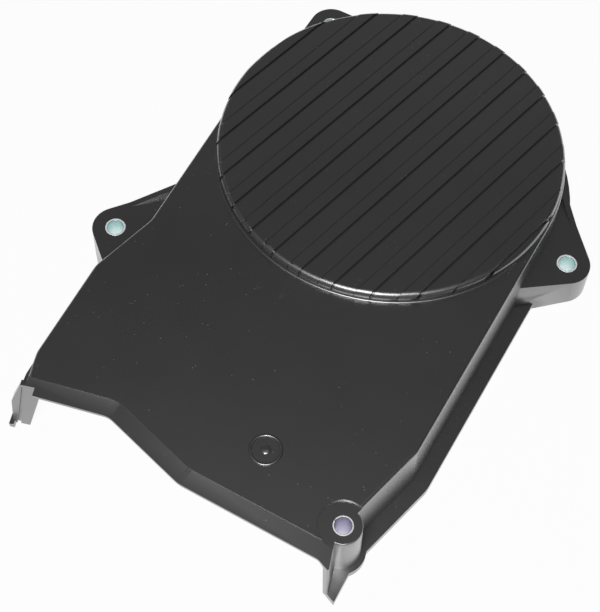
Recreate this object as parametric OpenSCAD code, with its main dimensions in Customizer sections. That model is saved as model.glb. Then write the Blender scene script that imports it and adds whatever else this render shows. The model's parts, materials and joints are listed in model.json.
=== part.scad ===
// Timing cover: a moulded plastic shell with a ribbed round front over the pulley,
// a flat panel over the belt run, three bolt ears, one bolt post and pressed-in steel sleeves.
// Millimetres. Origin on the disc's axis in the mounting face, +Z towards the front, +Y along the ribs.

/* [Disc] */
// Diameter of the round front disc
disc_d = 150; // [136:1:164]
// Height of the rib tops above the flat panel
disc_rise = 4.5; // [4:0.1:8]
// Radius of the disc's rounded rim
rim_r = 2.4; // [1:0.1:2.6]
// Radius of the fillet where the disc meets the panel
foot_r = 0.9; // [0.4:0.1:1.5]
// Angle by which that fillet stops short of the slanted sides, in degrees
foot_end = 18; // [10:1:30]
// Spacing of the ribs
rib_pitch = 14; // [10:0.5:20]
// Width of one rib
rib_w = 5.2; // [3:0.1:7]
// Height of one rib
rib_h = 0.35; // [0.2:0.05:1]
// Shift of the rib pattern from the axis
rib_shift = -0.9; // [-4:0.1:4]
// Bevel along a rib's top edges
rib_edge = 0.25; // [0.1:0.05:0.3]
// Widths of the grooves along a rib's left and right edges
rib_groove_w = [0.4, 0.9]; // [0.2:0.05:1.2]
// Depths of those grooves in the disc
rib_groove_t = [0.25, 0.6]; // [0.2:0.05:0.8]

/* [Shell] */
// Height of the flat panel above the mounting face
panel_z = 32; // [26:0.5:40]
// Thickness of the shell's walls
wall = 2.6; // [2:0.1:3.5]
// Lean of the side walls, in degrees
wall_draft = 2; // [0.5:0.5:4]
// Lean of the left wall towards the toe, in degrees
toe_lean = 11; // [6:0.5:14]
// Rounding of the panel's edges
edge_r = 1.3; // [0.8:0.1:2.4]
// Step of the body's wall outside the disc
shelf = 0.8; // [0.4:0.1:2]
// How far the left side passes inside the disc's edge
left_tuck = 1.5; // [0.5:0.1:3]

/* [Outline of the body] */
// Right wall, from the axis
body_right = 102; // [94:0.5:112]
// Left wall, from the axis
body_left = 47.5; // [42:0.5:54]
// Bend between the slanted sides and the straight walls, below the axis
shoulder_y = 96.5; // [90:0.5:104]
// End of the straight left wall, below the axis
left_bend_y = 127; // [120:0.5:134]
// Bend of the left wall before the toe
toe_bend = [-34, -170]; // [-200:0.5:200]
// Corner at the toe
toe_corner = [-24.3, -185.6]; // [-200:0.1:200]
// Straight stretch of the lower edge, below the axis
lower_y = 169; // [162:0.5:176]
// Ends of that stretch
lower_x = [6.7, 45.7]; // [-100:0.1:200]
// Reach of the heel corner beyond the right wall
heel_out = 7.6; // [4:0.1:12]
// Heel corner, below the axis
heel_y = 154; // [148:0.5:160]
// Start of the heel's flare, below the axis
flare_y = 142; // [136:0.5:146]
// Bend of the lower edge beside the heel, from the heel corner
heel_bend = [-6, 0.7]; // [-10:0.1:10]

/* [Blends of the outline] */
// Corners of the straight left wall
left_blend = 10; // [4:0.5:14]
// Bend before the toe
toe_bend_blend = 7; // [3:0.5:10]
// Toe corner
toe_blend = 1; // [0.5:0.1:2]
// Ends of the lower edge's straight stretch
lower_blend = [9, 16]; // [4:0.5:24]
// Bend beside the heel
heel_bend_blend = 5; // [2:0.5:8]
// Heel corner
heel_blend = 0.5; // [0.3:0.1:1]
// Start of the heel's flare
flare_blend = 5; // [3:0.5:8]
// Right shoulder
right_blend = 8; // [4:0.5:12]

/* [Lower edge] */
// Width of the stepped lip
lip_w = 7; // [4:0.1:10]
// Depth of the lip's step at the crease
lip_step = 0.8; // [0.2:0.1:1]
// Further drop of the lip at its edge
lip_drop = 0.3; // [0.2:0.1:1]

/* [Flange] */
// Thickness of the mounting flange
flange_t = 4; // [3:0.1:6]
// Reach of the flange beyond the panel's edge
flange_w = 7.4; // [5:0.1:9]
// Reach of the flange at the toe
toe_flange_w = 10; // [8.5:0.1:12]
// Reach of the flange at the heel
heel_flange_w = 2.5; // [1.5:0.1:4]
// Radius of the flange's lobe around the bolt post
lobe_r = 10.2; // [9.5:0.1:13]
// Reach of the pointed fin beyond the heel corner
heel_fin = 4.5; // [3:0.1:7]
// Direction from the post to the fin's root, in degrees
fin_root_a = -27; // [-40:1:0]

/* [Ears] */
// Height of the ears
ear_t = 15; // [10:0.5:20]
// Radius of an ear's tip
ear_r = 10; // [8.5:0.1:12]
// Distance of the two upper bolts beyond the disc's edge
ear_out = 13.3; // [11:0.1:16]
// Direction of the right ear from the axis, in degrees
right_ear_a = 12.8; // [8:0.2:20]
// Direction of the top ear from the axis, in degrees
top_ear_a = 149.8; // [140:0.2:156]
// Distance of the left bolt beyond the left wall
left_ear_out = 17; // [14:0.1:20]
// Left bolt, below the axis
left_ear_y = 103.7; // [100:0.1:108]
// Spread of an ear's root at the mounting face
ear_flare = 5; // [1:0.5:8]
// Angles from the top bolt to the ends of its ear's root on the disc, in degrees
top_ear_span = [31, 31]; // [24:0.5:36]
// The same for the right ear
right_ear_span = [21, 34]; // [16:0.5:38]
// Root of the left ear, along the slanted side and along the straight wall
left_ear_run = [35, 27]; // [20:0.5:50]
// Height of the ramped gusset at the wall
gusset_h = 5; // [3:0.1:9]
// Width of the gusset
gusset_w = 2.4; // [1.5:0.1:4]
// Length of the gusset along the ear's edge
gusset_run = 31; // [20:0.5:36]

/* [Bolt post] */
// Distance of the post's axis inside the right wall
post_in = 0.6; // [0:0.1:2]
// Post axis, below the disc's axis
post_y = 137.5; // [130:0.5:140]
// Radius of the post at its top
post_r = 7.5; // [6.5:0.1:9]
// Lean of the post's side, in degrees
post_draft = 1.2; // [0.5:0.1:2]
// Bevel of the post's top edge
post_edge = 0.5; // [0.2:0.1:1]
// Radius of the spot face cut in the panel
spot_r = 9.8; // [8.5:0.1:12]
// Depth of the spot face
spot_depth = 1; // [0.4:0.1:2]

/* [Toe post] */
// Thickness of the wall's thickened end, under the panel
toe_post_w = 6.9; // [5:0.1:8]
// The same at the mounting face
toe_post_foot_w = 4; // [3.2:0.1:6]
// Length of the thickened end along the wall
toe_post_run = 8; // [5:0.5:12]
// Distance of the end face from the corner, at the panel
toe_cut = 3.3; // [2:0.1:5]
// Width of the panel's notch in front of the end face
toe_notch = 3.8; // [2:0.1:5]
// How much further the end face reaches at the mounting face
toe_kick = 3.6; // [1:0.1:6]
// Width of the groove down the end face
groove_w = 1.5; // [0.8:0.1:2.5]
// Depth of the groove
groove_t = 0.9; // [0.4:0.1:2]
// Distance of the groove outside the wall's face
groove_out = 1.4; // [0:0.1:1.6]
// Thickness of the web outside the wall, at the panel
web_t = 2.2; // [1.5:0.1:4]
// Height of the web's outer corner
web_z = 17; // [10:0.5:24]
// Drop of the web's top below the panel
web_drop = 1; // [0.5:0.1:3]
// Reach of the web outside the wall, at its top, its outer corner and its foot
web_out = [2, 4.8, 3.2]; // [1:0.1:6]
// Length of the small foot beyond the end face
foot_run = 2.4; // [1:0.1:4]
// Width of the foot
foot_w = 2; // [1:0.1:3]
// Height of the foot
foot_t = 3; // [1:0.1:4]

/* [Sleeves] */
// Outer diameter of the ear sleeves
ear_sleeve_od = 9; // [8.2:0.1:11]
// Bore of the ear sleeves
ear_sleeve_id = 7; // [6.4:0.1:7.6]
// Outer diameter of the post sleeve
post_sleeve_od = 8.2; // [7.8:0.1:10]
// Bore of the post sleeve
post_sleeve_id = 6.6; // [6.2:0.1:7]
// Chamfer at a sleeve's ends
sleeve_chamfer = 0.15; // [0.1:0.05:0.4]

/* [Hidden] */
$fn = 96;
over = 1;
run_out = 20;
arc_steps = 44;
corner_steps = 4;
tip_steps = 12;
sharp_r = 0.3;
rib_proud = 0.05;
rib_bite = 0.05;
lower_round = 0.3;
round_step = 30;
ear_sink = 1.5;
plastic_color = [0.09, 0.09, 0.095];
zinc_color = [0.78, 0.8, 0.8];

disc_r = disc_d / 2;
disc_z = panel_z + disc_rise - rib_h;
body_r = disc_r + shelf;
left_d = disc_r - left_tuck;
post_pos = [body_right - post_in, -post_y];
post_z = panel_z - spot_depth;
bolt_r = disc_r + ear_out;
rib_half = floor((disc_r - rim_r) / rib_pitch);
toe_u = unit(toe_corner - toe_bend);
toe_len = norm(toe_corner - toe_bend);

// Edge kinds, which index a list of outward moves
SIDE = 0;
TOE = 1;
OPEN = 2;
HEEL = 3;

// Corners of the body below the disc, counter-clockwise from the left shoulder:
// place, blend radius, kind of the edge that follows
shoulder_left = [-body_left, -shoulder_y];
shoulder_right = [body_right, -shoulder_y];
heel_corner = [body_right + heel_out, -heel_y];
corners = [
    [shoulder_left, left_blend, SIDE],
    [[-body_left, -left_bend_y], left_blend, TOE],
    [toe_bend, toe_bend_blend, TOE],
    [toe_corner, toe_blend, OPEN],
    [[lower_x[0], -lower_y], lower_blend[0], OPEN],
    [[lower_x[1], -lower_y], lower_blend[1], OPEN],
    [heel_corner + heel_bend, heel_bend_blend, OPEN],
    [heel_corner, heel_blend, HEEL],
    [[body_right, -flare_y], flare_blend, SIDE],
    [shoulder_right, right_blend, SIDE]
];
FIRST_LOWER = 3;
LAST_LOWER = 7;

// Directions of the normals of the two slanted sides
right_n = direction(shoulder_right) + acos(body_r / norm(shoulder_right));
left_n = direction(shoulder_left) - acos(left_d / norm(shoulder_left)) + 360;

function unit(v) = v / norm(v);
function polar(r, a) = r * [cos(a), sin(a)];
function direction(v) = atan2(v.y, v.x);
function turned(v, a) = [v.x * cos(a) - v.y * sin(a), v.x * sin(a) + v.y * cos(a)];
function outward(u) = [u.y, -u.x];
function mean(points) = [for (p = points) 1 / len(points)] * points;
function lifted(points, z) = [for (p = points) [p.x, p.y, z]];

// Direction of the edge that follows corner i; -1 is the slanted left side
function edge_dir(i) =
    i < 0 ? polar(1, left_n + 90) :
    i == len(corners) - 1 ? polar(1, right_n + 90) :
    unit(corners[i + 1][0] - corners[i][0]);
function edge_kind(i) = i < 0 ? SIDE : corners[i][2];

// Corner i with its two edges moved outwards and its blend arc drawn
function corner_arc(i, moves) =
    let (
        u1 = edge_dir(i - 1),
        u2 = edge_dir(i),
        n1 = outward(u1),
        n2 = outward(u2),
        d1 = moves[edge_kind(i - 1)],
        d2 = moves[edge_kind(i)],
        c = n1 * n2,
        tip = corners[i][0] + ((d1 - d2 * c) * n1 + (d2 - d1 * c) * n2) / (1 - c * c),
        turn = atan2(u1.x * u2.y - u1.y * u2.x, u1 * u2),
        side = sign(turn),
        r = max(sharp_r, corners[i][1] + side * (d1 + d2) / 2),
        start = tip - r * tan(abs(turn) / 2) * u1,
        centre = start - side * r * n1
    )
    [for (k = [0:corner_steps]) centre + turned(start - centre, turn * k / corner_steps)];

// Whole outline of the body with its edges moved outwards by kind
function outline(moves) =
    let (
        r = body_r + moves[SIDE],
        last = left_n - acos((left_d + moves[SIDE]) / r)
    )
    concat(
        [for (k = [0:arc_steps]) polar(r, right_n + (last - right_n) * k / arc_steps)],
        [for (i = [0:len(corners) - 1]) each corner_arc(i, moves)]
    );

// Lower edge alone, from the toe to the heel
function lower_edge(moves) =
    [for (i = [FIRST_LOWER:LAST_LOWER]) each corner_arc(i, moves)];

// Outward moves of the walls at height z, less an inset
function wall_moves(z, inset, lower) =
    let (
        side = (panel_z - z) * tan(wall_draft) - inset,
        toe = (panel_z - z) * tan(toe_lean) - inset
    )
    [side, toe, lower, side];

// Closed solid through rings of equal length, stacked in the direction they turn about.
// Each end is a fan of triangles round the ring's middle.
module skin(rings) {
    n = len(rings[0]);
    last = (len(rings) - 1) * n;
    foot = last + n;
    head = foot + 1;
    polyhedron(
        concat([for (ring = rings) each ring], [mean(rings[0]), mean(rings[len(rings) - 1])]),
        concat(
            [for (i = [0:n - 1]) [foot, i, (i + 1) % n]],
            [for (j = [0:n:last - n], i = [0:n - 1]) [j + i, j + n + i, j + n + (i + 1) % n]],
            [for (j = [0:n:last - n], i = [0:n - 1]) [j + i, j + n + (i + 1) % n, j + (i + 1) % n]],
            [for (i = [0:n - 1]) [head, last + (i + 1) % n, last + i]]
        )
    );
}

// Shell

module body_form() {
    rounding = [for (a = [0:round_step:90])
        let (z = panel_z - edge_r + edge_r * sin(a), inset = edge_r * (1 - cos(a)))
        lifted(outline(wall_moves(z, inset, -lower_round * inset)), z)];
    skin(concat([lifted(outline(wall_moves(0, 0, 0)), 0)], rounding));
}

// Space under the panel, cut flat at its ceiling and open past the lower edge
module body_hollow() {
    ceiling = panel_z - wall;
    spring = ceiling - edge_r;
    top = ceiling + over;
    intersection() {
        skin([
            lifted(outline(wall_moves(-over, wall, run_out)), -over),
            lifted(outline(wall_moves(spring, wall, run_out)), spring),
            lifted(outline(wall_moves(top, wall + top - spring, run_out)), top)
        ]);
        translate([-2 * disc_d, -2 * disc_d, -2 * over])
            cube([4 * disc_d, 4 * disc_d, ceiling + 2 * over]);
    }
}

// Half section of a disc with a rounded rim
module rim_section(r, h, round_r) {
    square([r - round_r, h]);
    square([r, h - round_r]);
    translate([r - round_r, h - round_r]) circle(round_r);
}

module round_disc(r, z0, z1, round_r) {
    translate([0, 0, z0]) rotate_extrude() rim_section(r, z1 - z0, round_r);
}

module disc_ribs() {
    z0 = disc_z - rim_r;
    h = rim_r + rib_h;
    half = rib_w / 2;
    intersection() {
        round_disc(disc_r + rib_proud, z0, disc_z + rib_h, rim_r);
        for (i = [-rib_half:rib_half])
            translate([i * rib_pitch + rib_shift, disc_d, z0]) rotate([90, 0, 0]) linear_extrude(2 * disc_d)
                polygon([
                    [-half, -over], [half, -over], [half, h - rib_edge],
                    [half - rib_edge, h], [rib_edge - half, h], [-half, h - rib_edge]
                ]);
    }
}

// Grooves along the ribs' edges, of even depth round the rim, as cutters;
// those that would run out on the rim's rounding are left off
module rib_grooves() {
    half = rib_w / 2 - rib_bite;
    starts = [-half - rib_groove_w[0], half];
    for (k = [0, 1]) {
        t = rib_groove_t[k];
        difference() {
            for (i = [-rib_half:rib_half]) {
                from = i * rib_pitch + rib_shift + starts[k];
                if (max(-from, from + rib_groove_w[k]) < disc_r - rim_r)
                    translate([from, -disc_d, panel_z + rim_r / 2])
                        cube([rib_groove_w[k], 2 * disc_d, disc_rise]);
            }
            round_disc(disc_r - t, panel_z, disc_z - t, rim_r - t);
        }
    }
}

// Fillet along the near side of the disc, where the panel spreads away from it
module disc_foot() {
    from = left_n + foot_end;
    to = 360 + right_n - foot_end;
    translate([0, 0, panel_z - wall / 2]) rotate([0, 0, from]) rotate_extrude(angle = to - from)
        difference() {
            translate([disc_r - wall / 2, 0]) square([wall / 2 + foot_r, wall / 2 + foot_r]);
            translate([disc_r + foot_r, wall / 2 + foot_r]) circle(foot_r);
        }
}

module flange() {
    linear_extrude(flange_t) polygon(outline([flange_w, toe_flange_w, 0, heel_flange_w]));
    translate(post_pos) cylinder(h = flange_t, r = lobe_r);
    linear_extrude(flange_t) polygon([
        heel_corner,
        heel_corner - heel_fin * unit(heel_bend),
        post_pos + polar(lobe_r, fin_root_a),
        post_pos
    ]);
}

// Lap step along the lower edge, as a cutter
module lip_cut() {
    crease = lower_edge([lip_w, lip_w, -lip_w, lip_w]);
    edge = lower_edge([lip_w, lip_w, over, lip_w]);
    top = panel_z + over;
    slope = lip_drop / lip_w;
    skin([for (i = [0:len(crease) - 1]) [
        [edge[i].x, edge[i].y, panel_z - lip_step - slope * (lip_w + over)],
        [crease[i].x, crease[i].y, panel_z - lip_step],
        [crease[i].x, crease[i].y, top],
        [edge[i].x, edge[i].y, top]
    ]]);
}

// Ears

// Hole, root before it and root after it, counter-clockwise
slant_u = polar(1, left_n - 90);
ears = [
    [
        polar(bolt_r, right_ear_a),
        polar(disc_r, right_ear_a - right_ear_span[0]),
        polar(disc_r, right_ear_a + right_ear_span[1])
    ],
    [
        polar(bolt_r, top_ear_a),
        polar(disc_r, top_ear_a - top_ear_span[0]),
        polar(disc_r, top_ear_a + top_ear_span[1])
    ],
    [
        [-body_left - left_ear_out, -left_ear_y],
        shoulder_left + left_ear_run[0] * slant_u + polar(wall / 2, left_n + 180),
        shoulder_left + [wall / 2, -left_ear_run[1]]
    ]
];
GUSSET_AFTER = 0;
GUSSET_BEFORE = 2;

// Angle at which a line from point p touches the circle r round c; side is 1 before it, -1 after it
function touch_angle(p, c, r, side) = direction(p - c) + side * acos(r / norm(p - c));

function ear_ring(hole, before, after, r) =
    let (
        a0 = touch_angle(before, hole, r, 1),
        a1 = touch_angle(after, hole, r, -1),
        sweep = (a1 - a0 + 720) % 360
    )
    concat(
        [before],
        [for (k = [0:tip_steps]) hole + polar(r, a0 + sweep * k / tip_steps)],
        [after, hole + ear_sink * ((before + after) / 2 - hole)]
    );

module ear(e) {
    spread = ear_flare * unit(e[1] - e[2]);
    base = ear_ring(e[0], e[1] + spread, e[2] - spread, ear_r + ear_t * tan(wall_draft));
    skin([lifted(base, 0), lifted(ear_ring(e[0], e[1], e[2], ear_r), ear_t)]);
}

// Ramp inside an ear's edge, rising to the wall; side as in touch_angle
module gusset(e, root, side) {
    from = e[0] + polar(ear_r, touch_angle(root, e[0], ear_r, side));
    run = norm(root - from);
    start = run - gusset_run;
    translate([from.x, from.y, ear_t]) rotate([0, 0, direction(root - from)])
        translate([0, side > 0 ? 0 : gusset_w, 0]) rotate([90, 0, 0]) linear_extrude(gusset_w)
            polygon([[start, 0], [start, -over], [run, -over], [run, gusset_h]]);
}

// Toe: the wall's thickened end, in a frame along the wall and inwards from the panel's edge

function toe_point(along, inset, z) =
    let (p = toe_bend + along * toe_u - inset * outward(toe_u))
    [p.x, p.y, z];
function toe_face(z) = toe_len - toe_cut + toe_kick * (1 - z / panel_z);
function toe_skin(z) = -(panel_z - z) * tan(toe_lean);
function toe_ring(z, from, to, w0, w1) = [
    toe_point(from, w0, z),
    toe_point(to, w0, z),
    toe_point(to, w1, z),
    toe_point(from, w1, z)
];

// Thickened end of the wall, which tapers towards its foot
module toe_post() {
    from = toe_len - toe_post_run;
    skin([for (end = [[0, toe_post_foot_w], [panel_z - wall / 2, toe_post_w]])
        let (z = end[0])
        toe_ring(z, from, toe_face(z) + over, toe_skin(z) + wall / 2, toe_skin(z) + end[1])]);
}

// Web outside the wall, whose top slopes away from the panel
module toe_web() {
    from = toe_len - toe_cut - web_t;
    top = panel_z - web_drop;
    translate(toe_point(from, 0, 0)) rotate([90, 0, direction(-outward(toe_u))])
        linear_extrude(toe_len + toe_kick - from) polygon([
            [toe_skin(0) + wall / 2, 0],
            [toe_skin(top) + wall / 2, top],
            [toe_skin(top) - web_out[0], top],
            [toe_skin(web_z) - web_out[1], web_z],
            [toe_skin(0) - web_out[2], 0]
        ]);
}

// Foot on the flange, beyond the end face
module toe_foot() {
    ring = toe_ring(0, toe_len - toe_cut, toe_face(0) + foot_run, -toe_flange_w, foot_w - toe_flange_w);
    linear_extrude(foot_t) polygon([for (p = ring) [p.x, p.y]]);
}

// Everything beyond the slanted end face, and the groove down it, as cutters
module toe_trim() {
    far = toe_len + run_out;
    under = panel_z - wall;
    groove_in = groove_w - groove_out;
    skin([for (z = [-over, panel_z + over]) toe_ring(z, toe_face(z), far, -run_out, toe_notch)]);
    skin([for (z = [-over, under]) toe_ring(z, toe_face(z), far, 0, toe_post_w + over)]);
    skin([for (z = [-over, under])
        toe_ring(z, toe_face(z) - groove_t, far, toe_skin(z) - groove_out, toe_skin(z) + groove_in)]);
}

// Bolt post

module bolt_post() {
    post_foot_r = post_r + panel_z * tan(post_draft);
    translate(post_pos) {
        cylinder(h = post_z - post_edge, r1 = post_foot_r, r2 = post_r);
        translate([0, 0, post_z - post_edge])
            cylinder(h = 2 * post_edge, r1 = post_r, r2 = post_r - 2 * post_edge);
    }
}

module spot_face() {
    translate([post_pos.x, post_pos.y, post_z]) cylinder(h = panel_z, r = spot_r);
}

// Sleeves

module bore(pos, d, h) {
    translate([pos.x, pos.y, -over]) cylinder(h = h + 2 * over, d = d);
}

module sleeve(pos, od, id, h) {
    c = sleeve_chamfer;
    ro = od / 2;
    ri = id / 2;
    translate(pos) rotate_extrude()
        polygon([
            [ri + c, 0], [ro - c, 0], [ro, c], [ro, h - c],
            [ro - c, h], [ri + c, h], [ri, h - c], [ri, c]
        ]);
}

// Nodes

module cover() {
    color(plastic_color) union() {
        difference() {
            union() {
                difference() {
                    union() {
                        body_form();
                        flange();
                        for (e = ears) ear(e);
                        gusset(ears[GUSSET_AFTER], ears[GUSSET_AFTER][2], -1);
                        gusset(ears[GUSSET_BEFORE], ears[GUSSET_BEFORE][1], 1);
                        round_disc(disc_r, panel_z - wall / 2, disc_z, rim_r);
                    }
                    body_hollow();
                    round_disc(disc_r - wall, panel_z - wall - sharp_r, disc_z - wall, rim_r);
                }
                disc_ribs();
                disc_foot();
                bolt_post();
                toe_post();
                toe_web();
            }
            rib_grooves();
            lip_cut();
            toe_trim();
            spot_face();
            for (e = ears) bore(e[0], ear_sleeve_od, ear_t);
            bore(post_pos, post_sleeve_od, post_z);
        }
        toe_foot();
    }
}

module ear_sleeves() {
    color(zinc_color) for (e = ears) sleeve(e[0], ear_sleeve_od, ear_sleeve_id, ear_t);
}

module post_sleeve() {
    color(zinc_color) sleeve(post_pos, post_sleeve_od, post_sleeve_id, post_z);
}

cover();
ear_sleeves();
post_sleeve();
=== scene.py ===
"""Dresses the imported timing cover: smooth moulded plastic, zinc sleeves, floor, light and camera."""

import json
import logging
import math
from dataclasses import dataclass, replace
from enum import Enum

import bmesh
import bpy
import numpy as np
from mathutils import Matrix, Vector


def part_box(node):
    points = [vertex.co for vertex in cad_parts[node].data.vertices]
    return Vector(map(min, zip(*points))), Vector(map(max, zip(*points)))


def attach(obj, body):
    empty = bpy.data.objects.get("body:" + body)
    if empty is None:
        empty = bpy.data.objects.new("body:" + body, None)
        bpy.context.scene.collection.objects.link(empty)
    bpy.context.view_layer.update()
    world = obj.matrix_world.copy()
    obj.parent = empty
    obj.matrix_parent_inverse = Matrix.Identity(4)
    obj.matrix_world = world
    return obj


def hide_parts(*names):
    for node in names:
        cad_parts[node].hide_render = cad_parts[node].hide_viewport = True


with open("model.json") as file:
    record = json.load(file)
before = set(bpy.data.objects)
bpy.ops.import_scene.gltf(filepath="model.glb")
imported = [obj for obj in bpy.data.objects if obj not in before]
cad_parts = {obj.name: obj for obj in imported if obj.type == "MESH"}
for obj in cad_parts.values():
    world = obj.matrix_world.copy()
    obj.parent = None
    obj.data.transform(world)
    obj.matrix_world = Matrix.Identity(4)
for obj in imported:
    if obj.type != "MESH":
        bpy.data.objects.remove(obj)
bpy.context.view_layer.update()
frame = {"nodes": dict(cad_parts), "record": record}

Triple = tuple[float, float, float]

LOG = logging.getLogger("timing_cover")
MM = 0.001
BODY = "root"
EAR_HOLES = ("right_ear", "top_ear", "left_ear")
POST_HOLES = ("bolt_post",)
EAR_SEAM = math.radians(310.0)
POST_SEAM = math.radians(187.0)
GRAIN_DEPTH = 0.1 * MM
FACE_STRENGTH = "__mod_weightednormals_faceweight"
STRONG_FACE = 16384


class Slot(Enum):
    """Material slots of the record, by name."""

    PLASTIC = "plastic"
    ZINC = "zinc"


class Seam(Enum):
    """How a grid closes along one of its two directions."""

    OPEN = 0
    CLOSED = 1


def grid_faces(rows: int, cols: int, along: Seam, across: Seam) -> np.ndarray:
    """Quads between neighbouring points of a grid, numbered row by row.

    Args:
        rows: Number of points along the first parameter.
        cols: Number of points along the second parameter.
        along: Whether the last row joins the first.
        across: Whether the last column joins the first.

    Returns:
        Vertex numbers, four to a face.
    """
    i = np.arange(rows if along is Seam.CLOSED else rows - 1)[:, None]
    j = np.arange(cols if across is Seam.CLOSED else cols - 1)[None, :]
    down, right = (i + 1) % rows, (j + 1) % cols
    corners = (i * cols + j, down * cols + j, down * cols + right, i * cols + right)
    return np.stack(np.broadcast_arrays(*corners), axis=-1).reshape(-1, 4)


def lathe(profile: np.ndarray, centre: Triple, steps: int, across: Seam) -> tuple[np.ndarray, np.ndarray]:
    """Surface of revolution: each profile point (r, z) runs round an upright axis.

    Args:
        profile: (radius, height) pairs, counter-clockwise: a closed loop, or from axis to axis.
        centre: Foot of the axis.
        steps: Number of points round the axis.
        across: Whether the profile is a closed loop.

    Returns:
        Vertices and quads.
    """
    turn = np.linspace(0.0, 2.0 * math.pi, steps, endpoint=False)[:, None]
    r, z = profile[None, :, 0], profile[None, :, 1]
    points = np.stack((r * np.cos(turn), r * np.sin(turn), z + 0.0 * turn), axis=-1)
    verts = points.reshape(-1, 3) + np.array(centre)
    return verts, grid_faces(steps, len(profile), Seam.CLOSED, across)


def make_object(name: str, verts: np.ndarray, faces: np.ndarray) -> bpy.types.Object:
    """Puts vertices and faces of equal length into a new object at the origin.

    Args:
        name: Name of the object and its mesh.
        verts: Vertex places in metres.
        faces: Vertex numbers, one row a face.

    Returns:
        The new object, linked to the scene.
    """
    mesh = bpy.data.meshes.new(name)
    mesh.from_pydata(verts.tolist(), [], faces.tolist())
    mesh.update()
    obj = bpy.data.objects.new(name, mesh)
    bpy.context.scene.collection.objects.link(obj)
    return obj


def read_all(items: bpy.types.bpy_prop_collection, key: str, width: int, kind: type) -> np.ndarray:
    """One property of all items of a mesh.

    Args:
        items: Vertices, corners, triangles, faces or marks of a mesh.
        key: Name of the property.
        width: How many numbers each item holds.
        kind: Type of the numbers.

    Returns:
        The numbers: one row an item, or one plain list where each item holds one.
    """
    values = np.empty(len(items) * width, kind)
    items.foreach_get(key, values)
    return values.reshape(-1, width) if width > 1 else values


class NodeGroup:
    """Shader node group with named sockets, built once."""

    def __init__(self, name: str, inputs: dict[str, float], outputs: tuple[str, ...]) -> None:
        """Makes the group and its sockets.

        Args:
            name: Name of the group.
            inputs: Input names with their default values.
            outputs: Output names.
        """
        self.tree = bpy.data.node_groups.new(name, "ShaderNodeTree")
        for key, value in inputs.items():
            socket = self.tree.interface.new_socket(key, in_out="INPUT", socket_type="NodeSocketFloat")
            socket.default_value = value
        for key in outputs:
            self.tree.interface.new_socket(key, in_out="OUTPUT", socket_type="NodeSocketFloat")
        self.enter = self.tree.nodes.new("NodeGroupInput")
        self.leave = self.tree.nodes.new("NodeGroupOutput")
        self.place = self.tree.nodes.new("ShaderNodeTexCoord").outputs["Object"]

    def link(self, source: bpy.types.NodeSocket, target: bpy.types.NodeSocket) -> None:
        """Joins two sockets."""
        self.tree.links.new(source, target)

    def split(self) -> bpy.types.bpy_prop_collection:
        """The three coordinates of the place, by the names X, Y and Z.

        Returns:
            The sockets.
        """
        node = self.tree.nodes.new("ShaderNodeSeparateXYZ")
        self.link(self.place, node.inputs[0])
        return node.outputs

    def noise(self, scale: bpy.types.NodeSocket, detail: float) -> bpy.types.NodeSocket:
        """Noise over the piece's own coordinates.

        Args:
            scale: Socket that gives cells to the metre.
            detail: Octaves.

        Returns:
            The noise's value, about 0.5 on average.
        """
        node = self.tree.nodes.new("ShaderNodeTexNoise")
        node.inputs["Detail"].default_value = detail
        self.link(self.place, node.inputs["Vector"])
        self.link(scale, node.inputs["Scale"])
        return node.outputs["Fac"]

    def math(
        self, operation: str, first: bpy.types.NodeSocket, second: bpy.types.NodeSocket | float = 0.0
    ) -> bpy.types.NodeSocket:
        """Arithmetic on a socket.

        Args:
            operation: Name of the math node's operation.
            first: First operand.
            second: Second operand, a socket or a number.

        Returns:
            The result.
        """
        node = self.tree.nodes.new("ShaderNodeMath")
        node.operation = operation
        self.link(first, node.inputs[0])
        if isinstance(second, bpy.types.NodeSocket):
            self.link(second, node.inputs[1])
        else:
            node.inputs[1].default_value = second
        return node.outputs[0]

    def stretch(self, turn: float, scale: Triple) -> None:
        """Turns and stretches the coordinates that later noises read.

        Args:
            turn: Angle about the upright axis.
            scale: Factors along the three axes.
        """
        node = self.tree.nodes.new("ShaderNodeMapping")
        node.inputs["Rotation"].default_value = (0.0, 0.0, turn)
        node.inputs["Scale"].default_value = scale
        self.link(self.place, node.inputs["Vector"])
        self.place = node.outputs["Vector"]


def grain_group() -> bpy.types.NodeTree:
    """Fine grain: coarse and fine noise added as a height, and a slow cloud for gloss and colour.

    Returns:
        The group's tree.
    """
    group = NodeGroup("SurfaceGrain", {"Fine": 2600.0, "Coarse": 700.0, "Cloud": 18.0}, ("Height", "Mottle"))
    fine = group.noise(group.enter.outputs["Fine"], 2.0)
    coarse = group.noise(group.enter.outputs["Coarse"], 3.0)
    group.link(group.math("ADD", fine, coarse), group.leave.inputs["Height"])
    group.link(group.noise(group.enter.outputs["Cloud"], 4.0), group.leave.inputs["Mottle"])
    return group.tree


def dust_group(patch_share: float = 0.31) -> bpy.types.NodeTree:
    """Dust specks: the middles of scattered cells, kept only where a second noise is high.

    Args:
        patch_share: Scale of the second noise as a share of the cells' scale.

    Returns:
        The group's tree.
    """
    group = NodeGroup("DustSpecks", {"Scale": 420.0, "Size": 0.09, "Amount": 0.5}, ("Mask",))
    cells = group.tree.nodes.new("ShaderNodeTexVoronoi")
    group.link(group.place, cells.inputs["Vector"])
    group.link(group.enter.outputs["Scale"], cells.inputs["Scale"])
    near = group.math("LESS_THAN", cells.outputs["Distance"], group.enter.outputs["Size"])
    patches = group.noise(group.math("MULTIPLY", group.enter.outputs["Scale"], patch_share), 2.0)
    kept = group.math("GREATER_THAN", patches, group.enter.outputs["Amount"])
    group.link(group.math("MULTIPLY", near, kept), group.leave.inputs["Mask"])
    return group.tree


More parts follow.
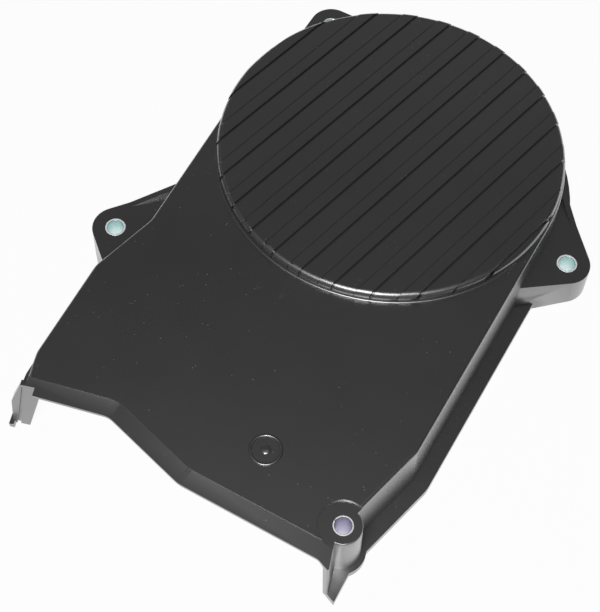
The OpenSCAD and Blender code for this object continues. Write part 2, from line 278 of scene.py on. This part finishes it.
def hairline_group(
    patch_share: float = 0.45, turn: float = math.radians(28.0), along: Triple = (1.0, 0.07, 0.07)
) -> bpy.types.NodeTree:
    """Hairline scratches: thin level lines of a stretched noise, kept only in a few patches.

    Args:
        patch_share: Scale of the patches as a share of the lines' scale.
        turn: Direction of the lines.
        along: Stretch of the noise along the three axes.

    Returns:
        The group's tree.
    """
    group = NodeGroup("Hairlines", {"Scale": 60.0, "Width": 0.0016, "Amount": 0.6}, ("Mask",))
    patches = group.noise(group.math("MULTIPLY", group.enter.outputs["Scale"], patch_share), 1.0)
    kept = group.math("GREATER_THAN", patches, group.enter.outputs["Amount"])
    group.stretch(turn, along)
    level = group.math("SUBTRACT", group.noise(group.enter.outputs["Scale"], 1.0), 0.5)
    line = group.math("LESS_THAN", group.math("ABSOLUTE", level), group.enter.outputs["Width"])
    group.link(group.math("MULTIPLY", line, kept), group.leave.inputs["Mask"])
    return group.tree


def rim_highlight_group() -> bpy.types.NodeTree:
    """Painted highlight on the sleeves' top ends: everything above a height.

    Returns:
        The group's tree.
    """
    group = NodeGroup("PaintedRimHighlight", {"From": 1.0}, ("Mask",))
    above = group.math("GREATER_THAN", group.split()["Z"], group.enter.outputs["From"])
    group.link(above, group.leave.inputs["Mask"])
    return group.tree


@dataclass(frozen=True)
class RibGrooveShade:
    """The disc's grooves, whose floors lack the gloss of the polished faces and carry painted shade: a
    darker colour that is strongest on the rim.

    A groove runs along each side of a rib and bites a little into it.
    """

    pitch: float = 14.0 * MM
    rib_w: float = 5.2 * MM
    shift: float = -0.9 * MM
    bite: float = 0.05 * MM
    widths: tuple[float, float] = (0.4 * MM, 0.9 * MM)
    strengths: tuple[float, float] = (0.15, 0.8)
    reach: float = 72.6 * MM
    lowest: float = 33.0 * MM
    rim_below: float = 35.4 * MM
    half_turn_on: float = 100.5

    def middles(self) -> tuple[float, float]:
        """Middles of the two grooves beside the rib that is nearest the axis.

        Returns:
            Places across the ribs.
        """
        half = self.rib_w / 2 - self.bite
        left, right = self.widths
        return self.shift - half - left / 2, self.shift + half + right / 2

    def group(self) -> bpy.types.NodeTree:
        """Mask of the painted shade in the grooves: distance across the ribs from the nearest groove of each
        kind.

        Returns:
            The group's tree.
        """
        group = NodeGroup("RibGrooveShade", {"Pitch": self.pitch}, ("Mask",))
        place = group.split()
        on_disc = group.math("GREATER_THAN", place["Z"], self.lowest)
        on_rim = group.math("LESS_THAN", place["Z"], self.rim_below)
        within = group.math("LESS_THAN", group.math("ABSOLUTE", place["X"]), self.reach)
        lines = [
            group.math(
                "MULTIPLY",
                self.line(group, place["X"], middle, width),
                group.math("MAXIMUM", on_rim, strength),
            )
            for middle, width, strength in zip(self.middles(), self.widths, self.strengths)
        ]
        grooves = group.math("MULTIPLY", within, group.math("MAXIMUM", *lines))
        group.link(group.math("MULTIPLY", grooves, on_disc), group.leave.inputs["Mask"])
        return group.tree

    def line(
        self, group: NodeGroup, across: bpy.types.NodeSocket, middle: float, width: float
    ) -> bpy.types.NodeSocket:
        """Mask of one kind of groove: near 0.5 of the fraction that counts from rib to rib.

        Args:
            group: Group that the nodes go into.
            across: Place across the ribs.
            middle: Middle of the groove beside the axis.
            width: Width of the groove.

        Returns:
            The mask.
        """
        pitch = group.enter.outputs["Pitch"]
        turns = group.math("DIVIDE", group.math("SUBTRACT", across, middle), pitch)
        part = group.math("FRACT", group.math("ADD", turns, self.half_turn_on))
        away = group.math("ABSOLUTE", group.math("SUBTRACT", part, 0.5))
        return group.math("LESS_THAN", group.math("MULTIPLY", away, pitch), width / 2)


@dataclass(frozen=True)
class Effects:
    """The node groups that the finishes share."""

    grain: bpy.types.NodeTree
    dust: bpy.types.NodeTree
    hairlines: bpy.types.NodeTree
    # Painted shade in the disc's grooves.
    groove_shading: bpy.types.NodeTree
    # Painted highlight on the sleeves' top ends.
    rim_highlight: bpy.types.NodeTree


class Dressing:
    """One material's node tree, with the few kinds of node that the finishes use."""

    def __init__(self, name: str, plain: dict[str, float]) -> None:
        """Makes the material and sets the shader's plain values.

        Args:
            name: Name of the material.
            plain: Values by the names of the shader's sockets.
        """
        self.material = bpy.data.materials.new(name)
        self.material.use_nodes = True
        self.tree = self.material.node_tree
        self.shader = self.tree.nodes["Principled BSDF"]
        for key, value in plain.items():
            self.shader.inputs[key].default_value = value

    def feed(self, source: bpy.types.NodeSocket, key: str) -> None:
        """Joins a socket to the shader's input of that name."""
        self.tree.links.new(source, self.shader.inputs[key])

    def group(self, effect: bpy.types.NodeTree, **values: float) -> bpy.types.bpy_prop_collection:
        """Places a shared group.

        Args:
            effect: The group's tree.
            values: The group's own values in this material.

        Returns:
            The group's outputs.
        """
        node = self.tree.nodes.new("ShaderNodeGroup")
        node.node_tree = effect
        for key, value in values.items():
            node.inputs[key].default_value = value
        return node.outputs

    def between(self, share: bpy.types.NodeSocket, low: float, high: float) -> bpy.types.NodeSocket:
        """Carries a share of 0 to 1 over to a range.

        Args:
            share: The share.
            low: Value at 0.
            high: Value at 1.

        Returns:
            The value.
        """
        node = self.tree.nodes.new("ShaderNodeMapRange")
        node.inputs["To Min"].default_value = low
        node.inputs["To Max"].default_value = high
        self.tree.links.new(share, node.inputs["Value"])
        return node.outputs["Result"]

    def value_over(
        self, mask: bpy.types.NodeSocket, under: bpy.types.NodeSocket, over: float
    ) -> bpy.types.NodeSocket:
        """Puts a value in place of another where a mask is 1.

        Args:
            mask: Where the new value holds.
            under: The value elsewhere.
            over: The new value.

        Returns:
            The value.
        """
        node = self.tree.nodes.new("ShaderNodeMix")
        node.inputs["B"].default_value = over
        self.tree.links.new(mask, node.inputs["Factor"])
        self.tree.links.new(under, node.inputs["A"])
        return node.outputs["Result"]

    def color_over(
        self, mask: bpy.types.NodeSocket, under: bpy.types.NodeSocket | Triple, over: Triple
    ) -> bpy.types.NodeSocket:
        """Lays a colour over another by the share that a mask gives.

        Args:
            mask: Share of the upper colour.
            under: The lower colour, a socket or a plain colour.
            over: The upper colour.

        Returns:
            The colour.
        """
        node = self.tree.nodes.new("ShaderNodeMix")
        node.data_type = "RGBA"
        node.inputs["B"].default_value = (*over, 1.0)
        if isinstance(under, bpy.types.NodeSocket):
            self.tree.links.new(under, node.inputs["A"])
        else:
            node.inputs["A"].default_value = (*under, 1.0)
        self.tree.links.new(mask, node.inputs["Factor"])
        return node.outputs["Result"]

    def bump(self, height: bpy.types.NodeSocket, strength: float) -> bpy.types.NodeSocket:
        """Turns a height into a normal.

        Args:
            height: Height of the grain.
            strength: Strength of the bump.

        Returns:
            The normal.
        """
        node = self.tree.nodes.new("ShaderNodeBump")
        node.inputs["Strength"].default_value = strength
        node.inputs["Distance"].default_value = GRAIN_DEPTH
        self.tree.links.new(height, node.inputs["Height"])
        return node.outputs["Normal"]


@dataclass(frozen=True)
class Finish:
    """One finish: colour, gloss and the detail that the groups add to it."""

    name: str
    color: Triple
    cloudy: Triple
    dusty: Triple
    scuffed: Triple
    rough: tuple[float, float]
    metallic: float
    specular: float
    ior: float
    coat: float
    coat_rough: float
    bump: float
    dust: float
    # Colour of the painted shade in the disc's grooves.
    groove_shade: Triple | None = None
    # Painted highlight: above this height the colour turns near-white, less metallic and rougher.
    rim_from: float | None = None
    rim_highlight_color: Triple = (0.97, 0.98, 0.99)
    rim_rough: float = 0.5
    rim_metallic: float = 0.1

    def build(self, effects: Effects) -> bpy.types.Material:
        """Makes the material.

        Args:
            effects: Groups for grain, dust, hairlines, the painted shade in the grooves and the painted
                highlight on the rims.

        Returns:
            The material.
        """
        plain = {
            "Metallic": self.metallic,
            "IOR": self.ior,
            "Coat IOR": self.ior,
            "Coat Roughness": self.coat_rough,
            "Specular IOR Level": self.specular,
            "Coat Weight": self.coat,
        }
        dressing = Dressing(self.name, plain)
        grain = dressing.group(effects.grain)
        scuffs = dressing.group(effects.hairlines)["Mask"]
        specks = dressing.group(effects.dust, Amount=self.dust)["Mask"]
        layers = [(scuffs, self.scuffed), (specks, self.dusty)]
        polish = dressing.between(grain["Mottle"], *self.rough)
        # Painted shade in the grooves: a darker colour, and the coat taken away.
        if self.groove_shade is not None:
            groove_shading = dressing.group(effects.groove_shading)["Mask"]
            layers.append((groove_shading, self.groove_shade))
            dressing.feed(dressing.between(groove_shading, self.coat, 0.0), "Coat Weight")
        # Painted highlight on the sleeves' top ends: near-white colour, less metal, rougher.
        if self.rim_from is not None:
            rim_highlight = dressing.group(effects.rim_highlight, From=self.rim_from)["Mask"]
            layers.append((rim_highlight, self.rim_highlight_color))
            dressing.feed(dressing.between(rim_highlight, self.metallic, self.rim_metallic), "Metallic")
            polish = dressing.value_over(rim_highlight, polish, self.rim_rough)
        color = dressing.color_over(grain["Mottle"], self.color, self.cloudy)
        for mask, tint in layers:
            color = dressing.color_over(mask, color, tint)
        dressing.feed(color, "Base Color")
        dressing.feed(polish, "Roughness")
        dressing.feed(dressing.bump(grain["Height"], self.bump), "Normal")
        return dressing.material


BLACK_PLASTIC = Finish(
    name="black_plastic",
    color=(0.0075, 0.0075, 0.0072),
    cloudy=(0.013, 0.013, 0.0125),
    dusty=(0.22, 0.22, 0.215),
    scuffed=(0.028, 0.029, 0.029),
    rough=(0.34, 0.42),
    metallic=0.0,
    specular=1.0,
    ior=1.88,
    coat=1.0,
    coat_rough=0.3,
    bump=0.12,
    dust=0.57,
    # Painted shade in the disc's grooves.
    groove_shade=(0.003, 0.003, 0.003),
)
GREEN_ZINC = Finish(
    name="green_zinc",
    color=(0.5, 0.73, 0.72),
    cloudy=(0.8, 0.9, 0.89),
    dusty=(0.55, 0.57, 0.57),
    scuffed=(0.7, 0.8, 0.8),
    rough=(0.2, 0.36),
    metallic=1.0,
    specular=0.5,
    ior=1.5,
    coat=0.0,
    coat_rough=0.1,
    bump=0.06,
    dust=0.7,
)
BLUE_ZINC = replace(GREEN_ZINC, name="blue_zinc", color=(0.52, 0.5, 0.64), cloudy=(0.78, 0.76, 0.85))


@dataclass
class SmoothNode:
    """Welded copy of a CAD node with soft shading, which stands for the node."""

    node: str
    weld: float = 0.004 * MM
    flat_within: float = math.radians(0.2)
    sharp_over: float = math.radians(50.0)
    level_over: float = 0.9999
    upright_under: float = 0.5
    step_between: tuple[float, float] = (31.1 * MM, 32.02 * MM)

    def build(self, material: bpy.types.Material, slot: Slot) -> bpy.types.Object:
        """Makes the copy, dresses it and lets it replace the node.

        Args:
            material: Finish of the piece.
            slot: Record slot of that finish; not used.

        Returns:
            The piece.
        """
        obj = make_object(f"{self.node}_smooth", *self.welded())
        self.shade(obj)
        obj.data.materials.append(material)
        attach(obj, BODY)
        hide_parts(self.node)
        return obj

    def welded(self) -> tuple[np.ndarray, np.ndarray]:
        """The node's triangles with points closer than the weld made one.

        Returns:
            Vertices and triangles.
        """
        mesh = frame["nodes"][self.node].data
        mesh.calc_loop_triangles()
        places = read_all(mesh.vertices, "co", 3, np.float64)
        corners = read_all(mesh.loop_triangles, "vertices", 3, np.int32)
        _, first, number = np.unique(
            np.round(places / self.weld), axis=0, return_index=True, return_inverse=True
        )
        triangles = number.reshape(-1)[corners]
        a, b, c = triangles.T
        return places[first], triangles[(a != b) & (b != c) & (c != a)]

    def shade(self, obj: bpy.types.Object) -> None:
        """Joins coplanar triangles, then shades smooth with flats kept flat.

        Args:
            obj: The welded copy.
        """
        work = bmesh.new()
        work.from_mesh(obj.data)
        bmesh.ops.dissolve_limit(
            work,
            angle_limit=self.flat_within,
            use_dissolve_boundaries=False,
            verts=work.verts,
            edges=work.edges,
        )
        work.to_mesh(obj.data)
        work.free()
        obj.data.shade_smooth()
        obj.data.set_sharp_from_angle(angle=self.sharp_over)
        self.soften_step(obj.data)
        self.favour_level_faces(obj.data)
        weighted = obj.modifiers.new("flats", "WEIGHTED_NORMAL")
        weighted.keep_sharp = True
        weighted.use_face_influence = True
        weighted.weight = 100

    @staticmethod
    def rise(mesh: bpy.types.Mesh) -> np.ndarray:
        """How level each face lies: 0 for an upright face, 1 for a level one."""
        return np.abs(read_all(mesh.polygons, "normal", 3, np.float64)[:, 2])

    def soften_step(self, mesh: bpy.types.Mesh) -> None:
        """Takes the sharp edges off the panel's low step: upright faces between two heights.

        Args:
            mesh: Mesh with its sharp edges marked.
        """
        start = read_all(mesh.polygons, "loop_start", 1, np.int32)
        count = read_all(mesh.polygons, "loop_total", 1, np.int32)
        corners = read_all(mesh.loops, "vertex_index", 1, np.int32)
        edges = read_all(mesh.loops, "edge_index", 1, np.int32)
        height = read_all(mesh.vertices, "co", 3, np.float64)[corners, 2]
        low, high = np.minimum.reduceat(height, start), np.maximum.reduceat(height, start)
        bottom, top = self.step_between
        step = (self.rise(mesh) < self.upright_under) & (low > bottom) & (high < top)
        marks = mesh.attributes["sharp_edge"].data
        sharp = read_all(marks, "value", 1, bool)
        sharp[edges[np.repeat(step, count)]] = False
        marks.foreach_set("value", sharp)

    def favour_level_faces(self, mesh: bpy.types.Mesh) -> None:
        """Marks level faces as strong, so that their normals rule where they meet others.

        Args:
            mesh: Mesh that gets weighted normals.
        """
        strength = mesh.attributes.new(FACE_STRENGTH, "INT", "FACE")
        level = self.rise(mesh) > self.level_over
        strength.data.foreach_set("value", np.where(level, STRONG_FACE, 0).astype(np.int32))


@dataclass
class RolledSleeves:
    """Steel tubes rolled from strip, each with its seam, which stand for a node of sleeves."""

    node: str
    mounts: tuple[str, ...]
    seam_a: float
    rim_r: float = 0.3 * MM
    rim_depth: float = 0.06 * MM
    rim_points: int = 5
    seam_w: float = 0.32 * MM
    seam_depth: float = 0.8 * MM
    seam_reach: float = 4.0
    seam_points: int = 17
    wall_left: float = 0.01 * MM
    around: int = 120
    sharp_over: float = math.radians(30.0)

    def build(self, finish: Finish, effects: Effects) -> bpy.types.Object:
        """Makes one tube at each mount and lets them replace the node.

        Args:
            finish: Finish of the tubes.
            effects: Groups that the finish uses.

        Returns:
            The piece.
        """
        low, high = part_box(self.node)
        holes = {m["name"]: m for m in frame["record"]["mounts"] if m["name"] in self.mounts}
        outer = min(m["pos_m"][0] for m in holes.values()) - low.x
        parts = [self.tube(holes[key], outer, low.z, high.z) for key in self.mounts]
        starts = np.cumsum([0] + [len(verts) for verts, _ in parts])
        faces = np.concatenate([quads + start for (_, quads), start in zip(parts, starts)])
        obj = make_object(f"{self.node}_rolled", np.concatenate([verts for verts, _ in parts]), faces)
        obj.data.shade_smooth()
        obj.data.set_sharp_from_angle(angle=self.sharp_over)
        # The top ends above the rounding carry a painted highlight.
        obj.data.materials.append(replace(finish, rim_from=high.z - self.rim_depth).build(effects))
        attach(obj, BODY)
        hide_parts(self.node)
        return obj

    def tube(self, hole: dict, outer: float, foot: float, top: float) -> tuple[np.ndarray, np.ndarray]:
        """Tube of revolution whose bore steps outwards in a narrow bell at the seam.

        The profile is four quarter circles about the corners of the wall, one after the other. At the
        seam the inner half of it moves outwards, as far as the outer rim's rounding leaves room.

        Args:
            hole: Mount that gives the bore's place and radius.
            outer: Outer radius.
            foot: Height of the lower end.
            top: Height of the upper end.

        Returns:
            Vertices and quads.
        """
        bore, rim = hole["dims"]["r_mm"] * MM, self.rim_r
        spread = np.linspace(-self.seam_reach, self.seam_reach, self.seam_points)
        seam = self.seam_a + spread * self.seam_w / bore
        round_it = np.linspace(0.0, 2.0 * math.pi, self.around, endpoint=False)
        turn = np.unique(np.concatenate((round_it, seam)))[:, None]
        corner = np.linspace(0.0, math.pi / 2.0, self.rim_points)
        quarter = (np.arange(4) * math.pi / 2.0)[:, None] - math.pi / 2.0
        swing = (quarter + corner[None, :]).reshape(-1)
        middle_r = np.repeat((outer - rim, outer - rim, bore + rim, bore + rim), self.rim_points)
        middle_z = np.repeat((foot + rim, top - rim, top - rim, foot + rim), self.rim_points)
        radius = (middle_r + rim * np.cos(swing))[None, :]
        height = (middle_z + rim * np.sin(swing))[None, :]
        inner = np.repeat((False, False, True, True), self.rim_points)[None, :]
        bell = np.exp(-(((turn - self.seam_a) * bore / self.seam_w) ** 4))
        deepest = outer - rim - self.wall_left
        r = np.where(inner, np.minimum(radius + self.seam_depth * bell, deepest), radius)
        x, y = hole["pos_m"][0] + r * np.cos(turn), hole["pos_m"][1] + r * np.sin(turn)
        verts = np.stack((x, y, height + 0.0 * turn), axis=-1).reshape(-1, 3)
        return verts, grid_faces(len(turn), radius.shape[1], Seam.CLOSED, Seam.CLOSED)


@dataclass
class CavityMark:
    """Plain raised ring and dot, as a mould leaves on a panel."""

    centre: tuple[float, float] = (60.0 * MM, -136.5 * MM)
    panel: float = 32.0 * MM
    ring_r: float = 6.0 * MM
    ring_w: float = 1.3 * MM
    ring_points: int = 13
    dot_r: float = 2.0 * MM
    dot_points: int = 9
    height: float = 0.55 * MM
    sunk: float = 0.2 * MM
    weld: float = 0.001 * MM
    around: int = 96
    sharp_over: float = math.radians(40.0)

    def half_round(self, inner: float, outer: float) -> np.ndarray:
        """Closed profile: a half ellipse from outer to inner, then straight down into the panel.

        Args:
            inner: Inner radius.
            outer: Outer radius.

        Returns:
            (radius, height) pairs.
        """
        angle = np.linspace(0.0, math.pi, self.ring_points)
        middle, half = (inner + outer) / 2, (outer - inner) / 2
        crown = np.stack((middle + half * np.cos(angle), self.height * np.sin(angle)), axis=-1)
        foot = np.array(((inner, -self.sunk), (outer, -self.sunk)))
        return np.concatenate((crown, foot))

    def dome(self) -> np.ndarray:
        """Profile from axis to axis: a level foot in the panel, then a quarter ellipse up to the top.

        Returns:
            (radius, height) pairs.
        """
        angle = np.linspace(0.0, math.pi / 2, self.dot_points)
        crown = np.stack((self.dot_r * np.cos(angle), self.height * np.sin(angle)), axis=-1)
        foot = np.array(((0.0, -self.sunk), (self.dot_r, -self.sunk)))
        return np.concatenate((foot, crown))

    def build(self, material: bpy.types.Material) -> bpy.types.Object:
        """Makes the ring and the dot as one piece.

        Args:
            material: Finish of the piece.

        Returns:
            The piece.
        """
        foot = (*self.centre, self.panel)
        ring = self.half_round(self.ring_r - self.ring_w / 2, self.ring_r + self.ring_w / 2)
        ring_v, ring_f = lathe(ring, foot, self.around, Seam.CLOSED)
        dot_v, dot_f = lathe(self.dome(), foot, self.around, Seam.OPEN)
        faces = np.concatenate((ring_f, dot_f + len(ring_v)))
        obj = make_object("cavity_mark", np.concatenate((ring_v, dot_v)), faces)
        self.close_poles(obj.data)
        obj.data.shade_smooth()
        obj.data.set_sharp_from_angle(angle=self.sharp_over)
        obj.data.materials.append(material)
        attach(obj, BODY)
        return obj

    def close_poles(self, mesh: bpy.types.Mesh) -> None:
        """Makes one point of those that meet on the axis.

        Args:
            mesh: Mesh of the ring and the dot.
        """
        work = bmesh.new()
        work.from_mesh(mesh)
        bmesh.ops.remove_doubles(work, verts=work.verts, dist=self.weld)
        work.to_mesh(mesh)
        work.free()


@dataclass
class Studio:
    """Pale floor, soft light and the camera at the photograph's angle."""

    azimuth: float = 42.54
    elevation: float = 61.04
    roll: float = 1.85
    eye: Triple = (197.01 * MM, -269.22 * MM, 489.74 * MM)
    lens: float = 76.29
    sensor: float = 36.0
    nearest: float = 0.01
    floor_half: float = 12.0
    floor_color: Triple = (0.86, 0.86, 0.86)
    floor_glow: float = 0.95
    floor_gap: float = 0.1 * MM
    sky: tuple[tuple[float, float], ...] = (
        (0.0, 0.25), (0.05, 0.1), (0.5, 0.05), (0.7, 0.22), (0.78, 0.12),
        (0.82, 0.01), (0.87, 0.02), (0.94, 0.06), (1.0, 0.2),
    )
    dark_side: Triple = (0.8, 0.425, 0.423)
    dark_edges: tuple[float, float] = (0.64, 0.9)
    dark_level: float = 0.05
    key_place: Triple = (0.44, -0.72, 1.29)
    key_aim: Triple = (0.02, -0.05, 0.02)
    key_size: tuple[float, float] = (0.5, 0.55)
    key_power: float = 15.0

    def camera(self) -> None:
        """Stands the camera at the eye, turned by azimuth, elevation and roll."""
        a, e, r = map(math.radians, (self.azimuth, self.elevation, self.roll))
        back = Vector((math.sin(a) * math.cos(e), -math.cos(a) * math.cos(e), math.sin(e)))
        level = Vector((math.cos(a), math.sin(a), 0.0))
        up = back.cross(level)
        right = math.cos(r) * level + math.sin(r) * up
        turned = math.cos(r) * up - math.sin(r) * level
        data = bpy.data.cameras.new("camera")
        data.lens = self.lens
        data.sensor_width = self.sensor
        data.clip_start = self.nearest
        obj = bpy.data.objects.new("camera", data)
        obj.matrix_world = Matrix.Translation(self.eye) @ Matrix((right, turned, back)).transposed().to_4x4()
        bpy.context.scene.collection.objects.link(obj)
        bpy.context.scene.camera = obj

    @staticmethod
    def seen_rays(tree: bpy.types.NodeTree) -> bpy.types.NodeSocket:
        """Value that is 1 for rays that see the stage directly, in a gloss or through a glass.

        Args:
            tree: Node tree that the nodes go into.

        Returns:
            The value.
        """
        path = tree.nodes.new("ShaderNodeLightPath")
        total = path.outputs["Is Camera Ray"]
        for key in ("Is Glossy Ray", "Is Transmission Ray"):
            either = tree.nodes.new("ShaderNodeMath")
            either.operation = "MAXIMUM"
            tree.links.new(total, either.inputs[0])
            tree.links.new(path.outputs[key], either.inputs[1])
            total = either.outputs[0]
        return total

    def floor(self) -> None:
        """Pale floor that looks white to the camera and keeps the shadow."""
        sides = self.floor_half * np.array(((-1.0, -1.0), (1.0, -1.0), (1.0, 1.0), (-1.0, 1.0)))
        verts = np.column_stack((sides, np.full(4, -self.floor_gap)))
        obj = make_object("floor", verts, np.array(((0, 1, 2, 3),)))
        material = bpy.data.materials.new("floor")
        material.use_nodes = True
        tree = material.node_tree
        nodes, links = tree.nodes, tree.links
        nodes.remove(nodes["Principled BSDF"])
        kinds = ("BsdfDiffuse", "Emission", "MixShader", "Math")
        diffuse, glow, mix, share = (nodes.new(f"ShaderNode{kind}") for kind in kinds)
        diffuse.inputs["Color"].default_value = (*self.floor_color, 1.0)
        share.operation = "MULTIPLY"
        share.inputs[1].default_value = self.floor_glow
        links.new(self.seen_rays(tree), share.inputs[0])
        links.new(share.outputs[0], mix.inputs["Fac"])
        links.new(diffuse.outputs[0], mix.inputs[1])
        links.new(glow.outputs[0], mix.inputs[2])
        links.new(mix.outputs[0], nodes["Material Output"].inputs["Surface"])
        obj.data.materials.append(material)

    def world(self) -> None:
        """Surroundings: bands of dim and pale sky by height, and one wide dark side."""
        world = bpy.data.worlds.new("studio")
        bpy.context.scene.world = world
        world.use_nodes = True
        nodes, links = world.node_tree.nodes, world.node_tree.links
        kinds = ("TexCoord", "SeparateXYZ", "ValToRGB", "VectorMath", "MapRange", "Mix")
        place, split, ramp, toward, share, mix = (nodes.new(f"ShaderNode{kind}") for kind in kinds)
        ramp.color_ramp.interpolation = "EASE"
        stops = ramp.color_ramp.elements
        stops.remove(stops[1])
        for k, (height, level) in enumerate(self.sky):
            stop = stops[0] if k == 0 else stops.new(height)
            stop.position = height
            stop.color = (level, level, level, 1.0)
        toward.operation = "DOT_PRODUCT"
        toward.inputs[1].default_value = self.dark_side
        share.interpolation_type = "SMOOTHSTEP"
        share.inputs["From Min"].default_value, share.inputs["From Max"].default_value = self.dark_edges
        mix.data_type = "RGBA"
        mix.inputs["B"].default_value = (self.dark_level, self.dark_level, self.dark_level, 1.0)
        links.new(place.outputs["Generated"], split.inputs[0])
        links.new(place.outputs["Generated"], toward.inputs[0])
        links.new(split.outputs["Z"], ramp.inputs["Fac"])
        links.new(toward.outputs["Value"], share.inputs["Value"])
        links.new(share.outputs["Result"], mix.inputs["Factor"])
        links.new(ramp.outputs["Color"], mix.inputs["A"])
        links.new(mix.outputs["Result"], nodes["Background"].inputs["Color"])

    def key_lamp(self) -> None:
        """Hangs one soft lamp with a square-cornered face."""
        data = bpy.data.lights.new("key", "AREA")
        data.energy = self.key_power
        data.shape = "RECTANGLE"
        data.size, data.size_y = self.key_size
        obj = bpy.data.objects.new("key", data)
        direction = Vector(self.key_aim) - Vector(self.key_place)
        turned = direction.to_track_quat("-Z", "Y").to_matrix().to_4x4()
        obj.matrix_world = Matrix.Translation(self.key_place) @ turned
        bpy.context.scene.collection.objects.link(obj)

    def build(self) -> None:
        """Sets the stage."""
        bpy.context.scene.view_settings.view_transform = "Standard"
        self.camera()
        self.floor()
        self.world()
        self.key_lamp()


def main() -> None:
    """Builds the pieces in order and reports each one."""
    logging.basicConfig(level=logging.INFO, format="%(name)s %(message)s")
    # The groove group paints shade into the disc's grooves.
    # The rim group paints a highlight on the sleeves' top ends.
    effects = Effects(grain_group(), dust_group(), hairline_group(), RibGrooveShade().group(), rim_highlight_group())
    plastic = BLACK_PLASTIC.build(effects)
    pieces = [
        SmoothNode("cover").build(plastic, Slot.PLASTIC),
        RolledSleeves("ear_sleeves", EAR_HOLES, EAR_SEAM).build(GREEN_ZINC, effects),
        RolledSleeves("post_sleeve", POST_HOLES, POST_SEAM).build(BLUE_ZINC, effects),
        CavityMark().build(plastic),
    ]
    for piece in pieces:
        LOG.info("%s: %d faces", piece.name, len(piece.data.polygons))
    Studio().build()


if __name__ == "__main__":
    main()
